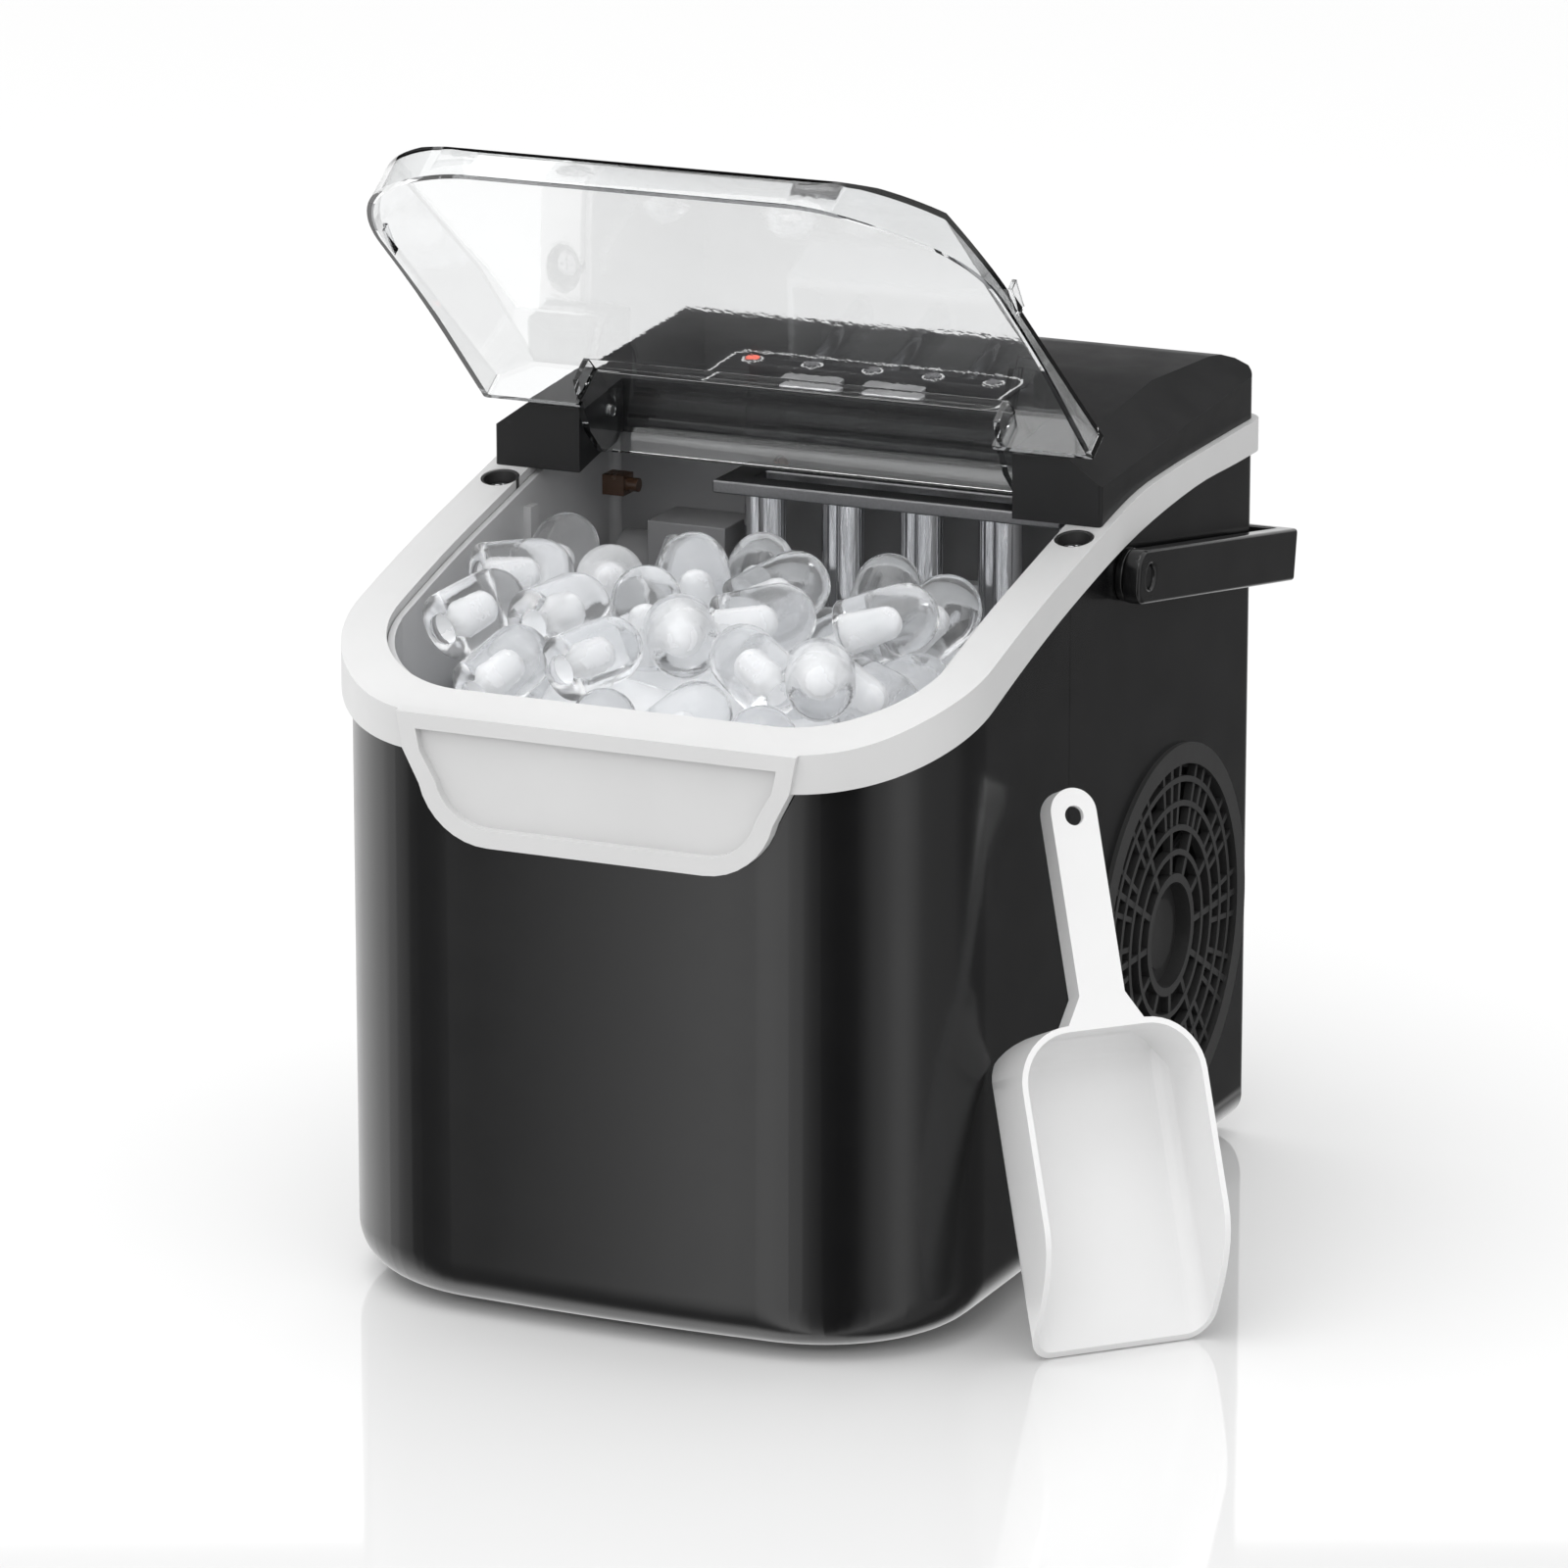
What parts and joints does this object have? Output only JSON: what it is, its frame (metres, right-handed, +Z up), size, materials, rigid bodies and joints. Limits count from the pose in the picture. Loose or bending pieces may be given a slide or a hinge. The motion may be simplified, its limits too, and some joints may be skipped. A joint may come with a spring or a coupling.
{
  "type": "ice maker",
  "caption": "Countertop bullet-ice maker: black casing, grey rim with front pull, lifting clear lid, folding bail handle, side fan grille, buttons, basket and a leaning scoop.",
  "frame": {"origin": "on the table, under the middle of the body's footprint", "axes": "+Z up; the front faces -Y; the fan grille is on the +X side; the scoop stands at +X"},
  "size_m": [0.3089, 0.3096, 0.3801],
  "materials": {
    "casing_black": "satin black",
    "cover_charcoal": "fine matte",
    "rim_grey": "satin light grey",
    "liner_grey": "satin grey",
    "clear_lid": "clear, slightly smoky plastic",
    "panel_film": "printed film",
    "led_clear": "lens",
    "button_silver": "metallic paint",
    "board_green": "solder mask",
    "steel": "zinc plated",
    "chrome_metal": "bright nickel plate",
    "aluminium_fins": "mill finish",
    "compressor_paint": "satin black",
    "copper_pipe": "bare copper",
    "rubber_black": "matte",
    "inner_dark": "matte",
    "tray_white": "satin",
    "basket_clear": "frosted",
    "hose_clear": "soft",
    "sensor_amber": "amber lens",
    "scoop_white": "white moulded plastic"
  },
  "bodies": {
    "housing": {"front_panel": "casing_black", "rear_housing": "casing_black", "base_pan": "inner_dark", "feet": "rubber_black", "top_rim": "rim_grey", "inner_liner": "liner_grey", "rear_cover": "cover_charcoal", "control_panel": "panel_film", "led_lenses": "led_clear", "control_board": "board_green", "hinge_pins": "steel", "screw_cups": "inner_dark", "rim_screws": "steel", "handle_pivots": "casing_black", "fan_grille": "inner_dark", "fan_shroud": "inner_dark", "fan_motor": "steel", "condenser": "aluminium_fins", "compressor": "compressor_paint", "compressor_mounts": "rubber_black", "refrigerant_lines": "copper_pipe", "evaporator": "chrome_metal", "ice_fingers": "chrome_metal", "tray_motor": "inner_dark", "rear_baffle": "inner_dark", "ice_sensor": "sensor_amber", "water_probe": "steel", "water_pump": "inner_dark", "water_hose": "hose_clear", "drain_spout": "liner_grey", "cord_gland": "rubber_black", "case_screws": "steel"},
    "lid": {"lid": "clear_lid", "lid_clips": "clear_lid"},
    "carry_handle": {"carry_handle": "casing_black"},
    "button_power": {"button_power": "button_silver"},
    "button_select": {"button_select": "button_silver"},
    "fan": {"fan_blade": "inner_dark"},
    "tray": {"water_tray": "tray_white"},
    "basket": {"ice_basket": "basket_clear"},
    "drain_plug": {"drain_plug": "rubber_black"},
    "scoop": {"scoop": "scoop_white"}
  },
  "joints": [
    {"name": "lid_hinge", "type": "hinge", "parent": "housing", "child": "lid", "pos_m": [0, 0.024, 0.265], "axis": [-1, 0, 0], "range_deg": [-56, 34]},
    {"name": "handle_swing", "type": "hinge", "parent": "housing", "child": "carry_handle", "pos_m": [0, 0.026, 0.227], "axis": [1, 0, 0], "range_deg": [0, 99.6]},
    {"name": "power_press", "type": "slide", "parent": "housing", "child": "button_power", "axis": [0, 0.0896, -0.996], "range_m": [0, 0.0008], "stiffness_N_per_m": 400, "springref_m": -0.0008},
    {"name": "select_press", "type": "slide", "parent": "housing", "child": "button_select", "axis": [0, 0.0896, -0.996], "range_m": [0, 0.0008], "stiffness_N_per_m": 400, "springref_m": -0.0008},
    {"name": "fan_spin", "type": "hinge", "parent": "housing", "child": "fan", "pos_m": [0.0925, 0.07, 0.0915], "axis": [1, 0, 0], "continuous": true},
    {"name": "tray_tilt", "type": "hinge", "parent": "housing", "child": "tray", "pos_m": [0.03, 0.054, 0.207], "axis": [1, 0, 0], "range_deg": [0, 35]},
    {"name": "basket_lift", "type": "slide", "parent": "housing", "child": "basket", "axis": [0, 0, 1], "range_m": [0, 0.045]},
    {"name": "drain_pull", "type": "slide", "parent": "housing", "child": "drain_plug", "axis": [-1, 0, 0], "range_m": [0, 0.012]},
    {"name": "scoop_lift", "type": "slide", "parent": "housing", "child": "scoop", "axis": [0.7314, -0.682, 0], "range_m": [0, 0.06]}
  ]
}
